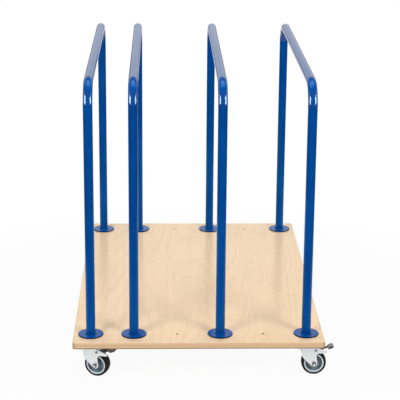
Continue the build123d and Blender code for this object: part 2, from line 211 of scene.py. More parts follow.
class TrolleyFinishColours(bpy.types.PropertyGroup):
    """Colours of the finishes"""

    birch_pale: colour("Birch, pale", "Palest wood of the deck's face", (0.884, 0.660, 0.424))
    birch_warm: colour("Birch, warm", "Warmer wood of the deck's face", (0.828, 0.596, 0.362))
    birch_line: colour("Birch, figure", "Darker lines of the figure", (0.62, 0.41, 0.22))
    ply_pale: colour("Edge, pale ply", "Long-grain plies at the deck's edge", (0.895, 0.63, 0.372))
    ply_dark: colour("Edge, dark ply", "End-grain plies at the deck's edge", (0.74, 0.475, 0.263))
    # Painted shade on the deck's lowest plies and down its vertical corners.
    deck_stain: colour("Deck stain", "Dirt on the deck's lowest plies and corners", (0.16, 0.085, 0.04))
    # Painted shade on the walls of the deck's holes.
    hole_wall: colour("Hole wall", "Wood in the deck's holes", (0.10, 0.055, 0.025))
    coat_blue: colour("Blue coat", "Powder coat of the hoops", (0.001, 0.077, 0.345))
    coat_shine: colour("Blue coat, shine", "Tint of the coat's gloss seen straight on", (0.02, 0.42, 0.65))
    coat_deep: colour("Blue coat, thin", "Powder coat where it is thinner", (0.001, 0.062, 0.29))
    # Painted shade on the feet's rims and in the welds.
    coat_pooled: colour("Blue coat, pooled", "Coat that has run together", (0.0, 0.006, 0.035))
    # Painted shade: the bars' upper half darker and greyer, as under less light from above.
    coat_grimy: colour("Blue coat, rubbed", "Coat that boards rub on the bars", (0.02, 0.055, 0.13))
    coat_dust: colour("Blue coat, dust", "Specks of dust in the coat", (0.16, 0.22, 0.34))
    zinc_cool: colour("Zinc, cool", "Bluish bright zinc", (0.84, 0.885, 0.925))
    zinc_warm: colour("Zinc, warm", "Warmer patches of the zinc", (0.89, 0.895, 0.88))
    zinc_scuff: colour("Zinc, scuffed", "Dull scuffs on the zinc", (0.55, 0.56, 0.57))
    steel: colour("Turned steel", "Bare steel of pins and plugs", (0.24, 0.24, 0.25))
    oil: colour("Oil", "Film of oil on turned steel", (0.15, 0.14, 0.125))
    rubber: colour("Tyre", "Black rubber of the tyres", (0.0035, 0.0035, 0.004))
    # Dust on the tread, made paler also as a painted sheen.
    rubber_worn: colour("Tyre, tread", "Dusty rubber on the tread", (0.020, 0.017, 0.015))
    core: colour("Wheel core", "Grey-blue plastic of the dish", (0.15, 0.215, 0.25))
    core_flow: colour("Wheel core, flow", "Paler flow marks in the dish", (0.20, 0.275, 0.32))
    core_rim: colour("Wheel rim", "Pale ring at the rim", (0.70, 0.78, 0.84))
    # Dark nylon ring of the lock nuts, spread over the whole collar as painted shade.
    nut_insert: colour("Nut insert", "Plastic ring of the lock nuts", (0.012, 0.014, 0.02))
    # Dark coat, tinted brown as a painted reflection of the deck's wood.
    pedal_grey: colour("Pedal coat", "Dull dark coat of the brake levers", (0.105, 0.080, 0.040))
    pedal_dark: colour("Pedal, dark", "Darker clouds in the pedal's coat", (0.035, 0.035, 0.04))
    # Pale grey of the pad's top: wear from shoes, and a painted highlight.
    pedal_worn: colour("Pedal, worn", "Pale grey where shoes rub the pad", (0.34, 0.34, 0.345))
    slide: colour("Slide ring", "White plastic of the swivel's slide ring", (0.78, 0.78, 0.74))
    grease: colour("Grease", "Grease on the slide ring", (0.42, 0.36, 0.26))
    shoe: colour("Brake shoe", "Rubber of the brake shoes", (0.03, 0.03, 0.03))
    shoe_rubbed: colour("Brake shoe, rubbed", "Shoe where it has rubbed", (0.075, 0.07, 0.065))
    floor: colour("Floor", "Pale floor", (0.55, 0.55, 0.55))


class TrolleyStageSettings(bpy.types.PropertyGroup):
    """Floor, light and camera"""

    floor_half: length("Half floor", "Half the side of the floor", 40.0)
    floor_glow: share("Floor white", "How much of the floor near the trolley is plain white", 0.95)
    sky: share("Sky", "Strength of the even light from all round", 0.16)
    key_power: power("Front lights", "Power of each front light", 113.0)
    top_power: power("Top light", "Power of the light above", 78.0)
    strip_power: power("Side strips", "Power of each side strip", 150.0)
    over_power: power("Over strip", "Power of the strip over the hoops", 30.0)
    camera_place: FloatVectorProperty(
        name="Camera place", description="Where the camera stands", default=(-0.12076, -4.67042, 1.87324),
        size=3, subtype="TRANSLATION",
    )
    camera_yaw: angle("Yaw", "Turn to the right", 0.0291)
    camera_pitch: angle("Pitch", "Tilt downwards", 0.274)
    camera_roll: angle("Roll", "Turn about the view", 0.0082)
    camera_lens: FloatProperty(name="Lens", description="Focal length in mm", default=125.215, unit="CAMERA")
    camera_shift: FloatProperty(name="Shift", description="Shift of the frame upwards", default=-0.1)


SETTINGS = {
    "trolley_hoops": TrolleyHoopSizes,
    "trolley_castors": TrolleyCastorSizes,
    "trolley_finishes": TrolleyFinishColours,
    "trolley_stage": TrolleyStageSettings,
}


# Surfaces


def grid_faces(rows, columns, ring):
    """Quads between neighbours on a grid whose columns close, and whose rows close too if it is a ring."""
    row = np.arange(rows if ring else rows - 1)[:, None]
    column = np.arange(columns)[None, :]
    below = (row + 1) % rows
    beside = (column + 1) % columns
    corners = ((row, column), (row, beside), (below, beside), (below, column))
    return np.stack([down * columns + across for down, across in corners], axis=-1).reshape(-1, 4)


def rounded(corners, cut, steps=6):
    """Outline through corners, each cut back along both its sides and bridged by a parabola:
    (1-t)^2 times the first cut, plus 2t(1-t) times the corner, plus t^2 times the second cut."""
    corner = np.array(corners, float)
    back = np.roll(corner, 1, axis=0) - corner
    ahead = np.roll(corner, -1, axis=0) - corner
    cut = np.broadcast_to(np.array(cut, float), len(corner))[:, None]
    start = corner + cut * back / np.linalg.norm(back, axis=1, keepdims=True)
    end = corner + cut * ahead / np.linalg.norm(ahead, axis=1, keepdims=True)
    t = np.linspace(0, 1, steps)[None, :, None]
    curve = (1 - t) ** 2 * start[:, None] + 2 * t * (1 - t) * corner[:, None] + t**2 * end[:, None]
    return curve.reshape(-1, 2)


def around(radius, along, centre, axis, sides):
    """Surface round an axis: centre, plus the distance along the axis, plus the radius times cos(turn) and
    sin(turn) of two directions square to it. Radius and distance are (rows, 1) or (rows, sides)."""
    axis = np.array(axis, float)
    across = np.array((1.0, 0.0, 0.0)) if abs(axis[2]) > 0.9 else np.cross(UP, axis)
    third = np.cross(axis, across)
    turn = np.linspace(0, 2 * np.pi, sides, endpoint=False)[None, :]
    radius = np.broadcast_to(radius, (len(radius), sides))
    along = np.broadcast_to(along, (len(along), sides))
    out = np.cos(turn)[..., None] * across + np.sin(turn)[..., None] * third
    return np.array(centre, float) + along[..., None] * axis + radius[..., None] * out


def lathe(outline, centre, axis, sides):
    """A turned surface: each (radius, distance along the axis) of the outline goes once round the axis."""
    outline = np.array(outline, float)
    return around(outline[:, :1], outline[:, 1:], centre, axis, sides)


def hexagon(flat, sides):
    """Radius of a hexagon by angle: the flat's distance over the cosine of the angle to its middle."""
    turn = np.linspace(0, 2 * np.pi, sides, endpoint=False)
    return flat / np.cos((turn + np.pi / 6) % (np.pi / 3) - np.pi / 6)


def carried(path, sides_of, section):
    """A section carried along a path: each path point, plus the section's first part times the direction
    across the path there, plus its second part times the direction square to both."""
    forward = np.gradient(path, axis=0)
    forward /= np.linalg.norm(forward, axis=1, keepdims=True)
    square = np.cross(forward, sides_of)
    return path[:, None] + section[..., :1] * sides_of[:, None] + section[..., 1:] * square[:, None]


def capped(grid):
    """The grid with its first and last rows drawn to their middles, so that both ends are closed."""
    middles = grid[[0, -1]].mean(axis=1, keepdims=True)
    ends = np.broadcast_to(middles, (2, *grid.shape[1:]))
    return np.concatenate([ends[:1], grid, ends[1:]])


def by_row(values, grid):
    """A value for each row of a grid, given to all points of the row."""
    return np.broadcast_to(values[:, None], grid.shape[:2])


def new_piece(name, node, body, slot, shells, finish=None, sharp=38, **marks):
    """One piece from grids of points, each a (grid, ring) pair, that rides on a body and stands for a CAD
    node. Doubled points at poles and seams are merged, and faces are turned outwards. Marks are attributes
    with a value for each point of the grids, in order."""
    points, faces, start = [], [], 0
    for grid, ring in shells:
        faces.append(grid_faces(*grid.shape[:2], ring) + start)
        points.append(grid.reshape(-1, 3))
        start += len(points[-1])
    mesh = bpy.data.meshes.new(name)
    mesh.from_pydata(np.concatenate(points), [], np.concatenate(faces))
    for label, values in marks.items():
        mark = mesh.attributes.new(label, "FLOAT", "POINT")
        mark.data.foreach_set("value", np.ravel(values).astype(np.float32))
    work = bmesh.new()
    work.from_mesh(mesh)
    bmesh.ops.remove_doubles(work, verts=work.verts, dist=1e-6)
    bmesh.ops.dissolve_degenerate(work, edges=work.edges, dist=1e-7)
    bmesh.ops.recalc_face_normals(work, faces=work.faces)
    work.to_mesh(mesh)
    work.free()
    mesh.shade_smooth()
    mesh.set_sharp_from_angle(angle=math.radians(sharp))
    mesh.materials.append(finish_for(finish or slot))
    piece = bpy.data.objects.new(name, mesh)
    bpy.context.scene.collection.objects.link(piece)
    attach(piece, body)
    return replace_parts(piece, node)


# Finishes


def maths(operation, turned=False):
    """A method of Value that adds a Math node, with the value as its last term if turned."""

    def method(self, *others):
        terms = (*others, self) if turned else (self, *others)
        return self.finish.node("ShaderNodeMath", {"operation": operation}, dict(enumerate(terms)))

    return method


class Value:
    """One output of a finish's nodes. Arithmetic on it adds Math nodes."""

    __add__ = __radd__ = maths("ADD")
    __mul__ = __rmul__ = maths("MULTIPLY")
    __sub__ = maths("SUBTRACT")
    __rsub__ = maths("SUBTRACT", turned=True)
    __truediv__ = maths("DIVIDE")
    __rtruediv__ = maths("DIVIDE", turned=True)
    __pow__ = maths("POWER")
    __rpow__ = maths("POWER", turned=True)
    __abs__ = maths("ABSOLUTE")
    sine = maths("SINE")
    floor = maths("FLOOR")
    fraction = maths("FRACT")
    larger = maths("MAXIMUM")
    exponent = maths("EXPONENT")

    def __init__(self, finish, socket):
        self.finish = finish
        self.socket = socket

    def bell(self):
        """e to the minus square."""
        return (-1 * self * self).exponent()

    def crests(self, number, sharpness):
        """A sine from 0 to 1 with a number of crests to each 1, raised to a power that sharpens them."""
        return ((self * (2 * math.pi * number)).sine() * 0.5 + 0.5) ** sharpness

    def rise(self, low, high):
        """0 below the low value, 1 above the high one, smooth between."""
        ends = {"Value": self, "From Min": low, "From Max": high}
        return self.finish.node("ShaderNodeMapRange", {"interpolation_type": "SMOOTHSTEP"}, ends)

    def between(self, low, high):
        """Stretched from 0..1 to low..high."""
        return low + self * (high - low)


class Finish:
    """A material's nodes."""

    def __init__(self, owner):
        owner.use_nodes = True
        self.owner = owner
        self.tree = owner.node_tree
        self.tree.nodes.clear()

    def node(self, kind, settings=None, inputs=None, output=0):
        """Adds a node of a kind, sets its settings, then its inputs' values or links. Gives one output."""
        made = self.tree.nodes.new(kind)
        for key, value in (settings or {}).items():
            setattr(made, key, value)
        for key, value in (inputs or {}).items():
            if isinstance(value, Value):
                self.tree.links.new(value.socket, made.inputs[key])
            else:
                made.inputs[key].default_value = value
        return Value(self, made.outputs[output]) if made.outputs else None

    def place(self):
        """Object coordinates."""
        return self.node("ShaderNodeTexCoord", output="Object")

    def parts(self, vector):
        """X, Y and Z of a vector."""
        split = self.node("ShaderNodeSeparateXYZ", inputs={0: vector})
        outputs = split.socket.node.outputs
        return [Value(self, outputs[i]) for i in range(3)]

    def mark(self, label):
        """A piece's own attribute."""
        return self.node("ShaderNodeAttribute", {"attribute_name": label}, output="Fac")

    def noise(self, per_metre, detail=2.0, roughness=0.5):
        """Noise on Object coordinates, with one fineness or one each along X, Y and Z."""
        scale = tuple(np.broadcast_to(per_metre, 3))
        mapped = self.node("ShaderNodeMapping", None, {"Vector": self.place(), "Scale": scale})
        inputs = {"Vector": mapped, "Scale": 1.0, "Detail": detail, "Roughness": roughness}
        return self.node("ShaderNodeTexNoise", None, inputs)

    def spots(self, per_metre, stretch=(1, 1, 1)):
        """Distance to scattered points, and a number of its own for each point."""
        mapped = self.node("ShaderNodeMapping", None, {"Vector": self.place(), "Scale": stretch})
        near = self.node("ShaderNodeTexVoronoi", None, {"Vector": mapped, "Scale": per_metre})
        tint = Value(self, near.socket.node.outputs["Color"])
        return near, self.parts(tint)[0]

    def mix(self, factor, first, second):
        """A colour between two."""
        ends = {0: factor, 6: opaque(first), 7: opaque(second)}
        return self.node("ShaderNodeMix", {"data_type": "RGBA"}, ends, output=2)

    def bump(self, height, depth, strength):
        """A normal that follows a height."""
        return self.node("ShaderNodeBump", None, {"Strength": strength, "Distance": depth, "Height": height})

    def surface(self, **inputs):
        """The finish's one surface shader, joined to its output."""
        named = {key.replace("_", " "): opaque(value) for key, value in inputs.items()}
        shader = self.node("ShaderNodeBsdfPrincipled", None, named)
        self.node("ShaderNodeOutputMaterial", None, {"Surface": shader})
        return self.owner


def opaque(value):
    """A colour's three numbers with a full fourth; anything else as it is."""
    return (*value, 1.0) if hasattr(value, "__len__") and len(value) == 3 else value


def sealed_birch(f, colours):
    """Clear-sealed rotary-cut birch. The figure is contour lines of a slow noise stretched along the deck,
    with ovals where smooth hills stand on it. The edges show the plies by height, with painted shade on
    the lowest plies, down the vertical corners and in the holes."""
    x, y, z = f.parts(f.place())
    low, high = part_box("deck_board")
    level = z.rise(high.z - 0.5 * MM, high.z - 0.2 * MM) + 1 - z.rise(low.z + 0.2 * MM, low.z + 0.5 * MM)
    field = f.noise((3.6, 0.30, 1.0), 1.5, 0.4)
    field = field + 0.02 * f.noise((26.0, 2.2, 1.0), 2.0) + 0.03 * f.noise((20.0, 9.0, 1.0), 2.0)
    for hill_x, hill_y, wide, long, tall in BIRCH_HILLS:
        field = field + tall * ((x - hill_x) / wide).bell() * ((y - hill_y) / long).bell()
    lines = field.crests(32, 3)
    knife = f.noise((1.3, 7.0, 1.0), 2.0, 0.5) + 0.04 * f.noise((18.0, 12.0, 1.0), 2.0)
    ripples = knife.crests(14, 4)
    mottle = f.noise((130.0, 44.0, 1.0), 3.0, 0.65).rise(0.36, 0.64)
    streaks = f.noise((95.0, 1.6, 1.0), 3.0, 0.6)
    pores = f.noise((520.0, 14.0, 1.0), 2.0, 0.6).rise(0.60, 0.78)
    patches = f.noise((2.3, 1.1, 1.0), 2.0)
    near, own = f.spots(9.0, (1.0, 0.9, 0.0))
    knots = (1 - near.rise(0.02, 0.06)) * own.rise(0.55, 0.62)
    flecks = f.noise((95.0, 60.0, 1.0), 2.0, 0.6).rise(0.60, 0.74)
    dashes = f.noise((24.0, 130.0, 1.0), 2.0, 0.6).rise(0.64, 0.74)
    warmth = streaks.rise(0.3, 0.7) * 0.4 + patches.rise(0.3, 0.7) * 0.4
    wood = f.mix(warmth, colours.birch_pale, colours.birch_warm)
    wood = f.mix(lines * patches.between(0.08, 0.21), wood, colours.birch_line)
    wood = f.mix(mottle * 0.13 + ripples * patches.between(0.0, 0.12), wood, colours.birch_line)
    wood = f.mix(pores * 0.10 + flecks * 0.10 + dashes * 0.16 + knots * 0.45, wood, colours.birch_line)

    ply = (z - low.z) * (DECK_PLIES / (high.z - low.z))
    tone = f.node("ShaderNodeTexWhiteNoise", {"noise_dimensions": "1D"}, {"W": ply.floor()})
    glue = abs(ply.fraction() - 0.5).rise(0.40, 0.47)
    along_grain = f.noise((60.0, 60.0, 900.0), 3.0, 0.6)
    end_grain = f.noise(700.0, 2.0, 0.6)
    dark = tone.rise(0.25, 0.75) * 0.8 + along_grain.between(-0.15, 0.25)
    edge = f.mix(dark, colours.ply_pale, colours.ply_dark)
    edge = f.mix(glue * 0.45 + end_grain.rise(0.55, 0.75) * 0.22, edge, colours.birch_line)
    # Painted shade on the lowest plies.
    edge = f.mix(0.85 - 0.85 * ply.rise(1.8, 2.9), edge, colours.deck_stain)
    from_side, from_end = high.x - abs(x), high.y - abs(y)
    # Painted shade in the holes.
    in_holes = from_side.rise(5.5 * MM, 6.5 * MM) * from_end.rise(5.5 * MM, 6.5 * MM)
    edge = f.mix(in_holes * 0.75, edge, colours.hole_wall)
    # Painted shade down the vertical corners.
    corner = (1 - from_side.rise(1 * MM, 10 * MM)) * (1 - from_end.rise(1 * MM, 10 * MM))
    edge = f.mix(corner * along_grain.between(0.35, 0.85), edge, colours.deck_stain)
    skin = f.mix(level, edge, wood)
    sheen = f.noise((18.0, 6.0, 18.0)).between(0.46, 0.60) - level * streaks.between(0.31, 0.37)
    relief = lines * 0.4 + pores * -0.8 + streaks * 0.5 + glue * (1 - level) * -2.0
    normal = f.bump(relief, 0.06 * MM, 0.6)
    return f.surface(Base_Color=skin, Roughness=sheen, Normal=normal, IOR=1.51)


def gloss_blue_coat(f, colours):
    """Gloss powder coat: deep blue with a fine orange peel and slightly uneven gloss. On the feet's rims and
    welds it is darkened as painted shade; it is polished in the bends; on the bars' upper half it is duller
    and painted darker and greyer as shade."""
    cloud = f.noise((14.0, 14.0, 9.0), 3.0)
    peel = f.noise(620.0, 1.0, 0.4)
    dust, own = f.spots(95.0)
    speck = (1 - dust.rise(0.03, 0.07)) * own.rise(0.80, 0.84)
    pooled, grime = f.mark("deep_coat"), f.mark("grime")
    skin = f.mix(cloud.rise(0.3, 0.7), colours.coat_deep, colours.coat_blue)
    skin = f.mix(speck * 0.25, skin, colours.coat_dust)
    # Painted shade: the feet's rims and welds are darkened.
    skin = f.mix(pooled * 0.95, skin, colours.coat_pooled)
    # Painted shade: the bars' upper half is darker and greyer.
    skin = f.mix(grime * cloud.between(0.45, 0.75), skin, colours.coat_grimy)
    dull = cloud.between(0.07, 0.12) + speck * 0.2 + pooled * 0.25 + grime * 0.10
    normal = f.bump(peel, 0.04 * MM, 0.08)
    return f.surface(
        Base_Color=skin, Roughness=dull, Normal=normal, Specular_Tint=colours.coat_shine,
        Coat_Weight=f.mark("polish") * 0.8, Coat_Roughness=0.08,
    )


def bright_zinc(f, colours):
    """Zinc-plated sheet: cool and warm clouds, fine rolling lines and soft scuffs."""
    cloud = f.noise(55.0, 4.0, 0.6)
    rolling = f.noise((90.0, 90.0, 1400.0), 2.0, 0.6)
    scuff = f.noise((240.0, 240.0, 30.0), 3.0, 0.7).rise(0.62, 0.74)
    skin = f.mix(cloud.rise(0.35, 0.65), colours.zinc_cool, colours.zinc_warm)
    skin = f.mix(scuff * 0.3, skin, colours.zinc_scuff)
    dull = cloud.between(0.30, 0.44) + rolling.between(-0.05, 0.05) + scuff * 0.10
    normal = f.bump(rolling * 0.6 + cloud, 0.05 * MM, 0.5)
    return f.surface(Base_Color=skin, Roughness=dull, Metallic=0.82, Normal=normal)


def turned_steel(f, colours):
    """Bare turned steel with faint tool lines and a film of oil."""
    film = f.noise(120.0, 3.0)
    tool = f.noise((60.0, 2200.0, 2200.0), 1.0)
    skin = f.mix(film.rise(0.4, 0.7) * 0.4, colours.steel, colours.oil)
    dull = film.between(0.24, 0.40) + tool.between(-0.05, 0.06)
    return f.surface(Base_Color=skin, Roughness=dull, Metallic=1.0, Normal=f.bump(tool, 0.03 * MM, 0.5))


def black_tyre(f, colours):
    """Black moulded rubber, duller where the tread meets the floor, and paler there from dust and from a
    painted sheen.
    """
    tread = f.mark("tread")
    dust = f.noise(160.0, 4.0, 0.65)
    grit = f.noise(900.0, 2.0)
    # Dust and painted sheen on the tread.
    skin = f.mix(tread * dust.between(0.45, 1.0), colours.rubber, colours.rubber_worn)
    dull = dust.between(0.50, 0.62) + tread * 0.2
    normal = f.bump(grit * 0.5 + dust, 0.12 * MM, 0.6)
    return f.surface(Base_Color=skin, Roughness=dull, Normal=normal, Specular_IOR_Level=0.25)


def wheel_plastic(f, colours):
    """Grey-blue moulded plastic with a pale ring at the rim and faint flow marks in the dish."""
    rim = f.mark("rim")
    flow = f.noise(75.0, 3.0, 0.6)
    grain = f.noise(1300.0, 1.0)
    dish = f.mix(flow.rise(0.35, 0.7) * 0.35, colours.core, colours.core_flow)
    skin = f.mix(rim, dish, colours.core_rim)
    dull = flow.between(0.28, 0.42)
    return f.surface(Base_Color=skin, Roughness=dull, Normal=f.bump(grain, 0.05 * MM, 0.4))


def lock_nut_zinc(f, colours):
    """Zinc like the sheet's, with the dark nylon ring of a lock nut spread over the collar and the hexagon's
    top edge as painted shade.
    """
    cloud = f.noise(140.0, 3.0, 0.6)
    insert = f.mark("insert")
    skin = f.mix(cloud.rise(0.35, 0.65), colours.zinc_cool, colours.zinc_warm)
    # Painted shade: the collar and the hexagon's top edge go dark with the nylon ring.
    skin = f.mix(insert, skin, colours.nut_insert)
    return f.surface(Base_Color=skin, Roughness=cloud.between(0.40, 0.52), Metallic=0.82 - insert * 0.8)


def dull_grey_coat(f, colours):
    """Dull dark coat of the brake levers, tinted brown as a painted reflection of the deck's wood; pale grey
    on the pad's top from shoes' wear and as a painted highlight.
    """
    cloud = f.noise(90.0, 3.0, 0.6)
    rub = f.noise((260.0, 260.0, 90.0), 3.0, 0.7).rise(0.40, 0.66)
    # The brown tint is a painted reflection of the deck's wood.
    skin = f.mix(cloud.rise(0.35, 0.65) * 0.4, colours.pedal_grey, colours.pedal_dark)
    # The pad's top: wear from shoes and a painted highlight.
    skin = f.mix(f.mark("walked") * rub.between(0.72, 1.0) + rub * 0.06, skin, colours.pedal_worn)
    dull = cloud.between(0.36, 0.52)
    return f.surface(Base_Color=skin, Roughness=dull, Metallic=0.3, Normal=f.bump(cloud, 0.08 * MM, 0.5))


def slide_plastic(f, colours):
    """White slide ring with a little grease."""
    grease = f.noise(140.0, 3.0).rise(0.5, 0.7)
    skin = f.mix(grease * 0.4, colours.slide, colours.grease)
    return f.surface(Base_Color=skin, Roughness=grease.between(0.5, 0.3))


def rubbed_shoe(f, colours):
    """Dark rubber pad, worn grey in patches."""
    rub = f.noise(260.0, 3.0)
    skin = f.mix(rub.rise(0.45, 0.7) * 0.5, colours.shoe, colours.shoe_rubbed)
    return f.surface(Base_Color=skin, Roughness=rub.between(0.6, 0.8), Normal=f.bump(rub, 0.2 * MM, 0.5))


RECIPES = {
    "plywood": sealed_birch,
    "blue_coat": gloss_blue_coat,
    "zinc_steel": bright_zinc,
    "bare_steel": turned_steel,
    "grey_coat": dull_grey_coat,
    "lock_nut": lock_nut_zinc,
    "tyre_rubber": black_tyre,
    "core_plastic": wheel_plastic,
    "white_plastic": slide_plastic,
    "shoe_rubber": rubbed_shoe,
}


def finish_for(slot):
    """The material of a slot, made by its recipe the first time and named after it."""
    recipe = RECIPES[slot]
    found = bpy.data.materials.get(recipe.__name__)
    if found is None:
        found = recipe(Finish(bpy.data.materials.new(recipe.__name__)), bpy.context.scene.trolley_finishes)
    return found


def coat_nodes(slot, nodes):
    """Gives CAD nodes that stay the finish of a slot."""
    for node in nodes:
        materials = frame["nodes"][node].data.materials
        materials.clear()
        materials.append(finish_for(slot))


def of_castors(piece, castors=CASTORS):
    """Names of the CAD nodes of one kind on the castors."""
    return [f"castor_{castor}_{piece}" for castor in castors]


# Operators


class TROLLEY_OT_deck(bpy.types.Operator):
    """Give the deck board its plywood finish"""

    bl_idname = "trolley.deck"
    bl_label = "Deck board"

    def execute(self, context):
        coat_nodes("plywood", ["deck_board"])
        return {"FINISHED"}


class TROLLEY_OT_hoops(bpy.types.Operator):
    """Bend the four hoop tubes"""

    bl_idname = "trolley.hoops"
    bl_label = "Hoop tubes"

    def execute(self, context):
        sizes = context.scene.trolley_hoops
        for node in HOOPS:
            self.bend(sizes, node)
        return {"FINISHED"}

    def bend(self, sizes, node):
        """A round section carried up one leg, round a quarter circle, along the bar and down the other leg.
        In a bend the section is an ellipse, flattest in the middle of the quarter circle."""
        low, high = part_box(node)
        radius, bend, leg_rows = sizes.tube_radius, sizes.bend_radius, 3
        front, rear, top = low.y + radius, high.y - radius, high.z - radius
        turn = np.linspace(0, np.pi / 2, sizes.bend_steps)
        rear_half = np.column_stack([rear - bend + bend * np.sin(turn), top - bend + bend * np.cos(turn)])
        front_half = np.column_stack([front + bend - bend * np.cos(turn), top - bend + bend * np.sin(turn)])
        straight = np.linspace(low.z, top - bend, leg_rows + 1)[:-1]
        leg = np.column_stack([np.full(leg_rows, front), straight])
        other = np.column_stack([np.full(leg_rows, rear), straight[::-1]])
        line = np.concatenate([leg, front_half, rear_half, other])
        path = np.column_stack([np.full(len(line), (low.x + high.x) / 2), line])

        def on_bends(front_values, rear_values, other_rows):
            """Values along both bends, with none on the rows of the legs."""
            still = np.zeros(other_rows)
            return np.concatenate([still, front_values, rear_values, still])

        bulge = np.sin(2 * turn) ** 2 * sizes.bend_flattening
        squeeze = 1 - on_bends(bulge, bulge, leg_rows)[:, None]
        about = np.linspace(0, 2 * np.pi, sizes.tube_sides, endpoint=False)[None, :]
        section = radius * np.stack([np.cos(about) + 0 * squeeze, np.sin(about) * squeeze], axis=-1)
        sideways = np.broadcast_to((1.0, 0.0, 0.0), path.shape)
        grid = capped(carried(path, sideways, section))
        polish = self.polished(turn)
        polish = on_bends(polish, polish[::-1], leg_rows + 1)
        # Painted shade on the upper half of the bars, fading in over the bends.
        rubbed = on_bends(self.rubbed(turn, 70, 86), self.rubbed(turn, 25, 85)[::-1], leg_rows + 1)
        height = grid[..., 2] - grid[..., 2].mean(axis=1, keepdims=True)
        upper = np.clip(height / radius * 2, 0, 1)
        new_piece(
            node.replace("_tube", "_bent_tube"), node, "trolley", "blue_coat", [(grid, False)],
            polish=by_row(polish, grid), grime=by_row(rubbed, grid) * upper,
        )

    def polished(self, turn):
        """Rises and falls again over the lower 43 degrees of a bend as half a sine wave, cut off at 1."""
        return np.clip(1.5 * np.sin(np.clip(turn * np.pi / math.radians(43), 0, np.pi)), 0, 1)

    def rubbed(self, turn, start, end):
        """Rises from 0 to 1 between two turns of a bend, in degrees, and stays so along the bar. It spreads
        the painted shade on the bars' upper half.
        """
        return np.clip((turn - math.radians(start)) / math.radians(end - start), 0, 1)


class TROLLEY_OT_feet(bpy.types.Operator):
    """Turn the round feet of the hoops with their welds"""

    bl_idname = "trolley.feet"
    bl_label = "Hoop feet"

    def execute(self, context):
        sizes = context.scene.trolley_hoops
        for tube in HOOPS:
            node = tube.replace("_tube", "_flanges")
            low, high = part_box(node)
            x = (low.x + high.x) / 2
            places = [(x, y, low.z) for y in (low.y + sizes.flange_radius, high.y - sizes.flange_radius)]
            shells = [(self.foot(sizes, place), False) for place in places]
            pooled = [self.pooled(sizes, grid, place) for (grid, _), place in zip(shells, places)]
            name = node.replace("_flanges", "_welded_feet")
            new_piece(name, node, "trolley", "blue_coat", shells, deep_coat=pooled)
        return {"FINISHED"}

    def pooled(self, sizes, grid, place):
        """1 on the rim and a third on the weld, where the coat is darkened as painted shade."""
        across, along, height = np.moveaxis(grid - place, -1, 0)
        on_rim = np.hypot(across, along) > sizes.flange_radius - 0.5 * sizes.flange_rim
        on_weld = height > sizes.flange_thickness + 0.2 * MM
        return on_rim + on_weld / 3

    def foot(self, sizes, place):
        """A turned disc with a rounded rim, and on it a hollow quarter-round weld whose ripples lean. Its
        radius grows by the ripple depth times the square of a sine of the turn plus a lag across it."""
        edge, top, leg = sizes.flange_radius, sizes.flange_thickness, sizes.weld_leg
        tube, sides, rows = sizes.tube_radius, sizes.foot_sides, 12
        inner, toe = 0.3 * tube, tube + leg
        corners = [
            (inner, top), (inner, 0), (edge, 0), (edge, top),
            (edge - sizes.flange_rim, top), (toe + 0.4 * MM, top), (toe, top),
        ]
        cuts = [0, 0, 0.3 * MM, sizes.flange_rounding, 0, 0, 0]
        disc = rounded(corners, cuts)[6:]
        across = np.linspace(0, 1, rows + 1)[1:]
        swell = np.sin(np.pi * across)
        hollow = 0.132 * leg * swell
        bead = np.column_stack([tube + leg * (1 - across) - hollow, top + leg * across - hollow])
        crown = [(tube - 0.4 * MM, top + leg), (inner, top + leg), (0, top + leg)]
        outline = np.concatenate([[(0, 0)], disc, bead, crown])
        turn = np.linspace(0, 2 * np.pi, sides, endpoint=False)[None, :]
        weight, lag = np.zeros((2, len(outline), 1))
        weld = slice(1 + len(disc), 1 + len(disc) + rows)
        weight[weld, 0] = swell
        lag[weld, 0] = 1.2 * np.abs(across - 0.5)
        ripple = sizes.weld_ripple * weight * np.sin(turn * sizes.weld_ripples / 2 + lag) ** 2
        return around(outline[:, :1] + ripple, outline[:, 1:] + 0.6 * ripple, place, UP, sides)


class TROLLEY_OT_fixings(bpy.types.Operator):
    """Finish the foot bolts, thread plugs, castor plates and their screws"""

    bl_idname = "trolley.fixings"
    bl_label = "Bolts, plates and screws"

    def execute(self, context):
        plated = ["hoop_bolts", "castor_plate_screws", *of_castors("plate"), *of_castors("kingpin")]
        coat_nodes("zinc_steel", plated)
        coat_nodes("bare_steel", ["hoop_thread_plugs"])
        return {"FINISHED"}


class TROLLEY_OT_forks(bpy.types.Operator):
    """Finish the pressed forks and their slide rings"""

    bl_idname = "trolley.forks"
    bl_label = "Castor forks"

    def execute(self, context):
        coat_nodes("zinc_steel", of_castors("fork"))
        coat_nodes("white_plastic", of_castors("slide_ring"))
        return {"FINISHED"}


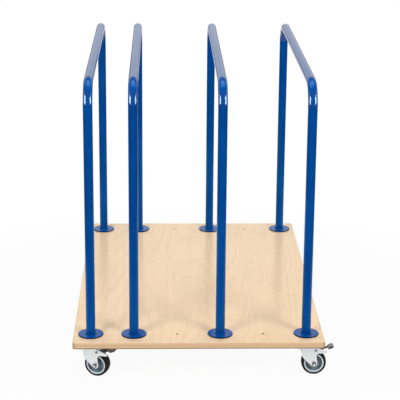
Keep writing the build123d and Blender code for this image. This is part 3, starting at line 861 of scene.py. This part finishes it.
class TROLLEY_OT_wheels(bpy.types.Operator):
    """Turn the tyres and wheel cores"""

    bl_idname = "trolley.wheels"
    bl_label = "Wheels"

    def execute(self, context):
        sizes = context.scene.trolley_castors
        for castor in CASTORS:
            joint = JOINTS[f"castor_{castor}_wheel_roll"]
            self.tyre(sizes, castor, joint)
            self.core(sizes, castor, joint)
        coat_nodes("bare_steel", of_castors("axle_sleeve"))
        return {"FINISHED"}

    def tyre(self, sizes, castor, joint):
        """A ring turned from a closed outline: the tread's radius falls with the square of the distance from
        its middle, and its shoulders are rounded into flat sides."""
        half, outer, seat = sizes.tread_half, sizes.wheel_radius, sizes.rim_radius + 0.02 * MM
        flat = half - sizes.shoulder
        across = np.linspace(-flat, flat, 21)
        tread = np.column_stack([outer - sizes.tread_crown * (across / flat) ** 2, across])
        t = np.linspace(0, np.pi / 2, 9)[1:]
        drop = sizes.shoulder * (1 - np.cos(t))
        shoulder = np.column_stack([outer - sizes.tread_crown - drop, flat + sizes.shoulder * np.sin(t)])
        groove, sunk = (outer - sizes.tread_crown - sizes.shoulder + seat) / 2, half - sizes.side_groove
        lip, bed, chamfer = 1.0 * MM, 0.6 * MM, 0.5 * MM
        side = np.array([
            (groove + lip, half), (groove + bed, sunk), (groove - bed, sunk), (groove - lip, half),
            (seat + chamfer, half), (seat, half - chamfer),
        ])
        right = np.concatenate([shoulder, side])
        left = right[::-1] * (1, -1)
        outline = np.concatenate([left, tread, right])
        grid = lathe(outline, joint["pos_m"], joint["axis"], sizes.wheel_sides)
        dusty_depth, dusty_fade = 3.2 * MM, 1.6 * MM
        # Dust and painted sheen on the tread, fading down the shoulders.
        dust_and_sheen = np.clip((outline[:, 0] - (outer - dusty_depth)) / dusty_fade, 0, 1)
        new_piece(
            f"castor_{castor}_rubber_tyre", f"castor_{castor}_tyre", f"castor_{castor}_wheel",
            "tyre_rubber", [(grid, True)], tread=by_row(dust_and_sheen, grid),
        )

    def core(self, sizes, castor, joint):
        """A wheel turned from a closed outline with rounded corners: bore, hub, hollow dish and rim ring."""
        half_outline = np.array([
            (sizes.bore_radius, sizes.hub_half),
            (sizes.hub_radius - 1 * MM, sizes.hub_half),
            (sizes.hub_radius + 0.6 * MM, sizes.web_half),
            (sizes.rim_inner - 1.6 * MM, sizes.web_half),
            (sizes.rim_inner, sizes.rim_half),
            (sizes.rim_radius, sizes.rim_half),
        ])
        cuts = np.array([0.4, 0.9, 3.0, 6.5, 0.9, 0.5]) * MM
        corners = np.concatenate([half_outline, half_outline[::-1] * (1, -1)])
        outline = rounded(corners, np.concatenate([cuts, cuts[::-1]]), 8)
        grid = lathe(outline, joint["pos_m"], joint["axis"], sizes.wheel_sides)
        pale_start, pale_fade, pale_width = 11.5 * MM, 1.5 * MM, 2.5 * MM
        pale = np.clip((np.abs(outline[:, 1]) - pale_start) / pale_fade, 0, 1)
        pale = pale * (outline[:, 0] > sizes.rim_inner - pale_width)
        new_piece(
            f"castor_{castor}_dished_core", f"castor_{castor}_wheel_core", f"castor_{castor}_wheel",
            "core_plastic", [(grid, True)], rim=by_row(pale, grid),
        )


class TROLLEY_OT_axles(bpy.types.Operator):
    """Make the axle bolts and their lock nuts"""

    bl_idname = "trolley.axles"
    bl_label = "Axle bolts and nuts"

    def execute(self, context):
        sizes = context.scene.trolley_castors
        for castor in CASTORS:
            joint = JOINTS[f"castor_{castor}_wheel_roll"]
            body = f"castor_{castor}_swivel"
            nut, insert = self.nut(sizes, joint)
            new_piece(
                f"castor_{castor}_lock_nut", f"castor_{castor}_axle_nut", body, "zinc_steel", [(nut, True)],
                finish="lock_nut", insert=insert,
            )
            bolt = [(self.bolt(sizes, joint), False)]
            new_piece(f"castor_{castor}_hex_bolt", f"castor_{castor}_axle_bolt", body, "zinc_steel", bolt)
        return {"FINISHED"}

    def nut(self, sizes, joint):
        """A hexagon cut by two cones, with a round collar: the radius is the smaller of the hexagon's
        at each angle and the turned outline's at each height. Also gives the collar and the hexagon's top
        edge, dark as nylon ring and painted shade."""
        sides, high = sizes.hexagon_sides, sizes.nut_height
        flat, bore = sizes.axle_flat, sizes.axle_radius + 0.02 * MM
        corner, collar = flat * HEXAGON_CORNER, flat - 0.7 * MM
        base, cone = high - sizes.nut_collar, 0.6 * MM
        hexagonal = [(bore, 0), (flat * 1.02, 0), (corner, cone), (corner, base - cone)]
        round_part = [
            hexagonal[-1], (flat * 1.01, base), (collar + 0.3 * MM, base + 0.1 * MM),
            (collar, base + 0.5 * MM), (collar, high - 0.8 * MM), (collar - 0.7 * MM, high),
        ]
        cuts = np.array([0, 0.3, 0, 0.2, 0.3, 0]) * MM
        mouth = [(bore + 0.5 * MM, high), (bore, high - 0.4 * MM)]
        outline = np.concatenate([hexagonal, rounded(round_part, cuts, 4), mouth])
        radius = np.minimum(outline[:, :1], hexagon(flat, sides)[None, :])
        grid = around(radius, -sizes.fork_half - outline[:, 1:], joint["pos_m"], joint["axis"], sides)
        return grid, by_row(outline[:, 1] > base - 0.5 * MM, grid)

    def bolt(self, sizes, joint):
        """A hexagon head cut by a cone, and a shank whose end has a thread: there the radius falls by the
        thread's depth times a triangle wave of the distance along the bolt less the pitch times the turn."""
        sides, pitch = sizes.hexagon_sides, sizes.thread_pitch
        flat, shank, half = sizes.axle_flat, sizes.axle_radius, sizes.fork_half
        corner, top = flat * HEXAGON_CORNER, half + sizes.bolt_head
        end = half + sizes.nut_height + sizes.bolt_end
        head = np.array([
            (0, top), (flat * 0.92, top), (flat, top - 0.15 * MM), (corner, top - 0.8 * MM),
            (corner, half + 0.5 * MM), (flat, half), (shank, half),
        ])
        head_radius = np.minimum(head[:, :1], hexagon(flat, sides)[None, :])
        threaded = np.linspace(-half + 4 * MM, -end, 97)[:, None]
        turn = np.linspace(0, 1, sides, endpoint=False)[None, :]
        wave = np.abs(((threaded / pitch - turn) % 1.0) - 0.5) * 2
        depth, run_out, point = 0.55 * pitch, 2 * MM, 0.9 * MM
        fade = np.clip((-half - threaded) / run_out, 0, 1)
        tip = np.clip((end + threaded) / point, 0, 1)
        thread = np.minimum(shank - depth * fade * wave, shank - depth * (1 - tip))
        radius = np.concatenate([head_radius, np.full((1, sides), shank), thread, np.zeros((1, sides))])
        along = np.concatenate([head[:, 1:], [[0.0]], threaded, [[-end]]])
        return around(radius, along, joint["pos_m"], joint["axis"], sides)


class TROLLEY_OT_brakes(bpy.types.Operator):
    """Make the brake levers and finish their pins, springs and shoes"""

    bl_idname = "trolley.brakes"
    bl_label = "Brakes"

    def execute(self, context):
        sizes = context.scene.trolley_castors
        for castor in BRAKED:
            joint = JOINTS[f"castor_{castor}_brake_press"]
            pad, walked = self.pad(sizes, joint)
            shells = [(pad, False), (self.lever(sizes, joint), False), (self.eye(sizes, joint), True)]
            plain = sum(grid.shape[0] * grid.shape[1] for grid, _ in shells[1:])
            walked = np.concatenate([walked.ravel(), np.zeros(plain)])
            new_piece(
                f"castor_{castor}_brake_lever", f"castor_{castor}_brake_pedal", f"castor_{castor}_brake",
                "grey_coat", shells, sharp=50, walked=walked,
            )
        coat_nodes("bare_steel", of_castors("brake_pin", BRAKED) + of_castors("brake_spring", BRAKED))
        coat_nodes("shoe_rubber", of_castors("brake_shoe", BRAKED))
        return {"FINISHED"}

    def directions(self, sizes, joint):
        """The pivot, the direction of the level lever, and the pad's own direction up its slope."""
        level = np.cross(joint["axis"], UP)
        slope = math.atan2(sizes.pedal_rise, sizes.pedal_reach - sizes.pedal_bend)
        return np.array(joint["pos_m"]), level, math.cos(slope) * level + math.sin(slope) * UP

    def lever(self, sizes, joint):
        """A flat section with round edges carried along the lever's line, level from the eye and bent up
        into the pad. Its half width falls from the lever's to the neck's by a quarter of an ellipse."""
        pivot, level, along = self.directions(sizes, joint)
        bend, soft, sheet = sizes.pedal_bend, sizes.bend_softness, sizes.pedal_sheet
        slope = math.hypot(sizes.pedal_reach - bend, sizes.pedal_rise)
        shoulder = sizes.lever_length - sizes.lever_corner
        into_pad = bend + slope - sizes.pad_length + 0.9 * sizes.pad_edge
        distance = np.concatenate([
            np.linspace(0.6 * sizes.eye_radius, shoulder, 6)[:-1],
            shoulder + sizes.lever_corner * np.sin(np.linspace(0, np.pi / 2, 16)),
            np.linspace(sizes.lever_length, into_pad, 25)[1:],
        ])
        bent = np.clip(distance - bend, -soft, soft) + soft
        rising = bent**2 / (4 * soft) + np.clip(distance - bend - soft, 0, None)
        path = pivot + (distance - rising)[:, None] * level + rising[:, None] * along
        narrowing = np.clip((distance - shoulder) / sizes.lever_corner, 0, 1)
        half = (sizes.neck_width + (sizes.lever_width - sizes.neck_width) * np.sqrt(1 - narrowing**2)) / 2
        corners = [(0, -sheet / 2), (0, sheet / 2), (-sheet, sheet / 2), (-sheet, -sheet / 2)]
        inset, height = rounded(corners, 0.45 * sheet)[:12].T
        side = np.repeat((1.0, -1.0), len(inset))
        section = np.empty((len(path), len(side), 2))
        section[..., 0] = half[:, None] * side + np.concatenate([inset, -inset[::-1]])
        section[..., 1] = np.concatenate([height, height[::-1]])
        return capped(carried(path, np.broadcast_to(joint["axis"], path.shape), section))

    def pad(self, sizes, joint):
        """A tray, open below, from sections across its length. Near an end its half width is the straight
        part plus the root of the corner rounding's square less the square of how far the section lies beyond
        the rounding's centre. The hollow's is the same with a rounding less by the sheet. Ribs are sine
        waves cut off below. Also gives which points are the pad's top, paled by shoes' wear and a painted
        highlight."""
        pivot, level, along = self.directions(sizes, joint)
        above = np.cross(along, joint["axis"])
        long, depth, sheet = sizes.pad_length, sizes.pad_depth, sizes.pedal_sheet
        corner, soft = sizes.pad_corner, sizes.pad_edge
        close = corner * (1 - np.cos(np.linspace(0, np.pi / 2, 20)))
        wall = np.array((sheet - 0.01 * MM, sheet + 0.01 * MM))
        even = np.linspace(0, long, 77)
        station = np.unique(np.concatenate([close, long - close, wall, long - wall, even]))
        near = np.minimum(station, long - station)[:, None]
        beyond = np.clip(corner - near, 0, corner)
        straight = sizes.pad_width / 2 - corner
        outer = straight + np.sqrt(corner**2 - beyond**2)
        hollow = beyond <= corner - sheet
        inner = hollow * (straight + np.sqrt(np.clip((corner - sheet) ** 2 - beyond**2, 0, None)))
        ceiling = np.where(hollow, -sheet, -depth)
        turn = np.linspace(0, np.pi / 2, 6)[None, :]
        fall = soft - np.sqrt(soft**2 - np.clip(soft - near, 0, soft) ** 2)
        rim, rim_height = outer - soft + soft * np.cos(turn), soft * np.sin(turn) - soft - fall
        spread = np.array((0.90, 0.82, 0.4, 0.0, -0.4, -0.82, -0.90))[None, :]
        ribs = np.clip(np.sin(2 * np.pi * station / sizes.rib_pitch), 0, 1)[:, None] * (near > 2.5 * soft)
        top = sizes.rib_height * ribs * (np.abs(spread) < 0.85) - fall
        foot = np.full_like(outer, -depth)
        face = (outer - soft) * spread
        sideways = [outer, rim, face, -rim[:, ::-1], -outer, -inner, -inner, inner, inner]
        upward = [foot, rim_height, top, rim_height[:, ::-1], foot, foot, ceiling, ceiling, foot]
        sideways, upward = np.concatenate(sideways, axis=1), np.concatenate(upward, axis=1)
        end = pivot + sizes.pedal_reach * level + sizes.pedal_rise * UP + sheet / 2 * above
        place = end + (station - long)[:, None] * along
        grid = capped(place[:, None] + sideways[..., None] * joint["axis"] + upward[..., None] * above)
        walked = np.zeros(sideways.shape[1])
        # The pad's top, pale from wear and a painted highlight.
        walked[6:15] = 1
        return grid, np.broadcast_to(walked, grid.shape[:2])

    def eye(self, sizes, joint):
        """A turned sleeve round the brake pin."""
        half, outer, inner = sizes.eye_half, sizes.eye_radius, sizes.pin_radius
        outline = rounded([(inner, -half), (outer, -half), (outer, half), (inner, half)], 0.4 * MM, 4)
        return lathe(outline, joint["pos_m"], joint["axis"], sizes.eye_sides)


class TROLLEY_OT_stage(bpy.types.Operator):
    """Lay the floor and set the lights and camera"""

    bl_idname = "trolley.stage"
    bl_label = "Stage"

    def execute(self, context):
        stage = context.scene.trolley_stage
        self.floor(context, stage)
        self.sky(context, stage)
        self.lights(context, stage)
        self.camera(context, stage)
        context.scene.view_settings.view_transform = "Standard"
        return {"FINISHED"}

    def seen(self, f):
        """1 for rays from the camera, off gloss or through glass, and 1 for rays off gloss alone."""
        outputs = f.node("ShaderNodeLightPath").socket.node.outputs
        kinds = ("Camera", "Glossy", "Transmission")
        camera, gloss, glass = (Value(f, outputs[f"Is {kind} Ray"]) for kind in kinds)
        return camera.larger(gloss).larger(glass), gloss

    def floor(self, context, stage):
        """A square, white to the camera apart from the trolley's shadow, and to gloss within the paper."""
        half = stage.floor_half
        mesh = bpy.data.meshes.new("floor")
        corners = [(-half, -half, 0), (half, -half, 0), (half, half, 0), (-half, half, 0)]
        mesh.from_pydata(corners, [], [(0, 1, 2, 3)])
        made = bpy.data.materials.new("pale_floor")
        f = Finish(made)
        x, y, _ = f.parts(f.place())
        seen, gloss = self.seen(f)
        far = (x * x + y * y).rise(*SHADOW_FADE)
        paper = (1 - abs(x).rise(*PAPER_SIDES)) * y.rise(*PAPER_FRONT)
        light = 1 - gloss * (1 - paper) * (1 - OFF_PAPER)
        matt = f.node("ShaderNodeBsdfDiffuse", None, {"Color": opaque(context.scene.trolley_finishes.floor)})
        white = f.node("ShaderNodeEmission", None, {"Color": (1, 1, 1, 1), "Strength": light})
        ends = {0: seen * far.between(stage.floor_glow, 1.0), 1: matt, 2: white}
        f.node("ShaderNodeOutputMaterial", None, {"Surface": f.node("ShaderNodeMixShader", None, ends)})
        mesh.materials.append(made)
        floor = bpy.data.objects.new("floor", mesh)
        context.scene.collection.objects.link(floor)

    def sky(self, context, stage):
        """White to the camera, dim to the trolley, and to gloss white only in a low backdrop."""
        world = bpy.data.worlds.new("studio")
        context.scene.world = world
        f = Finish(world)
        seen, gloss = self.seen(f)
        _, behind, height = f.parts(f.place())
        backdrop = behind.rise(*BACKDROP_SIDES) * (1 - height.rise(*BACKDROP_TOP))
        strength = stage.sky + seen * (1 - gloss * (1 - backdrop)) * (1.0 - stage.sky)
        glow = f.node("ShaderNodeBackground", None, {"Color": (1, 1, 1, 1), "Strength": strength})
        f.node("ShaderNodeOutputWorld", None, {"Surface": glow})

    def lights(self, context, stage):
        """Lamps that gloss does not show, and strips that only the gloss of the tubes shows."""
        tubes = bpy.data.collections.new("bent_tubes")
        for piece in context.scene.objects:
            if piece.name.endswith("_bent_tube"):
                tubes.objects.link(piece)
        for name, setting, place, aim, size, for_tubes in LAMPS:
            lamp = self.lamp(context, name, place, aim, getattr(stage, setting), size)
            lamp.visible_glossy = for_tubes
            lamp.visible_diffuse = not for_tubes
            if for_tubes:
                lamp.light_linking.receiver_collection = tubes

    def lamp(self, context, name, place, aim, watts, size):
        """A soft rectangular lamp at a place, facing its aim."""
        data = bpy.data.lights.new(name, "AREA")
        data.shape = "RECTANGLE"
        data.size, data.size_y = size
        data.energy = watts
        lamp = bpy.data.objects.new(name, data)
        context.scene.collection.objects.link(lamp)
        view = np.array(aim, float) - place
        view /= np.linalg.norm(view)
        right = np.cross(view, UP)
        right /= np.linalg.norm(right)
        lamp.matrix_world = facing_matrix(right, np.cross(right, view), view, place)
        return lamp

    def camera(self, context, stage):
        """The camera, turned to the right, tilted down, then turned about its view."""
        data = bpy.data.cameras.new("camera")
        data.sensor_width = 36.0
        data.lens = stage.camera_lens
        data.shift_y = stage.camera_shift
        data.clip_end = 200.0
        camera = bpy.data.objects.new("camera", data)
        context.scene.collection.objects.link(camera)
        yaw, pitch, roll = stage.camera_yaw, stage.camera_pitch, stage.camera_roll
        level = math.cos(pitch)
        view = np.array((math.sin(yaw) * level, math.cos(yaw) * level, -math.sin(pitch)))
        right = np.array((math.cos(yaw), -math.sin(yaw), 0.0))
        above = np.cross(right, view)
        across = math.cos(roll) * right + math.sin(roll) * above
        upward = math.cos(roll) * above - math.sin(roll) * right
        camera.matrix_world = facing_matrix(across, upward, view, stage.camera_place)
        context.scene.camera = camera


def facing_matrix(right, above, view, place):
    """Matrix of a lamp or camera that looks along a direction from a place."""
    turn = np.eye(4)
    turn[:3, 0], turn[:3, 1], turn[:3, 2], turn[:3, 3] = right, above, -np.array(view), place
    return Matrix(turn.tolist())


class VIEW3D_PT_trolley(bpy.types.Panel):
    """Sizes, finishes and steps of the trolley"""

    bl_label = "Board Trolley"
    bl_idname = "VIEW3D_PT_trolley"
    bl_space_type = "VIEW_3D"
    bl_region_type = "UI"
    bl_category = "Trolley"

    def draw(self, context):
        for step in STEPS:
            self.layout.operator(step.bl_idname)
        for name, group in SETTINGS.items():
            box = self.layout.box()
            box.label(text=group.__doc__)
            for prop in group.__annotations__:
                box.prop(getattr(context.scene, name), prop)


STEPS = (
    TROLLEY_OT_deck,
    TROLLEY_OT_hoops,
    TROLLEY_OT_feet,
    TROLLEY_OT_fixings,
    TROLLEY_OT_forks,
    TROLLEY_OT_wheels,
    TROLLEY_OT_axles,
    TROLLEY_OT_brakes,
    TROLLEY_OT_stage,
)
CLASSES = (*SETTINGS.values(), *STEPS, VIEW3D_PT_trolley)


def register():
    for cls in CLASSES:
        bpy.utils.register_class(cls)
    for name, group in SETTINGS.items():
        setattr(bpy.types.Scene, name, PointerProperty(type=group))


def unregister():
    for name in SETTINGS:
        delattr(bpy.types.Scene, name)
    for cls in reversed(CLASSES):
        bpy.utils.unregister_class(cls)


def main():
    register()
    for step in STEPS:
        family, action = step.bl_idname.split(".")
        getattr(getattr(bpy.ops, family), action)()


if __name__ == "__main__":
    main()
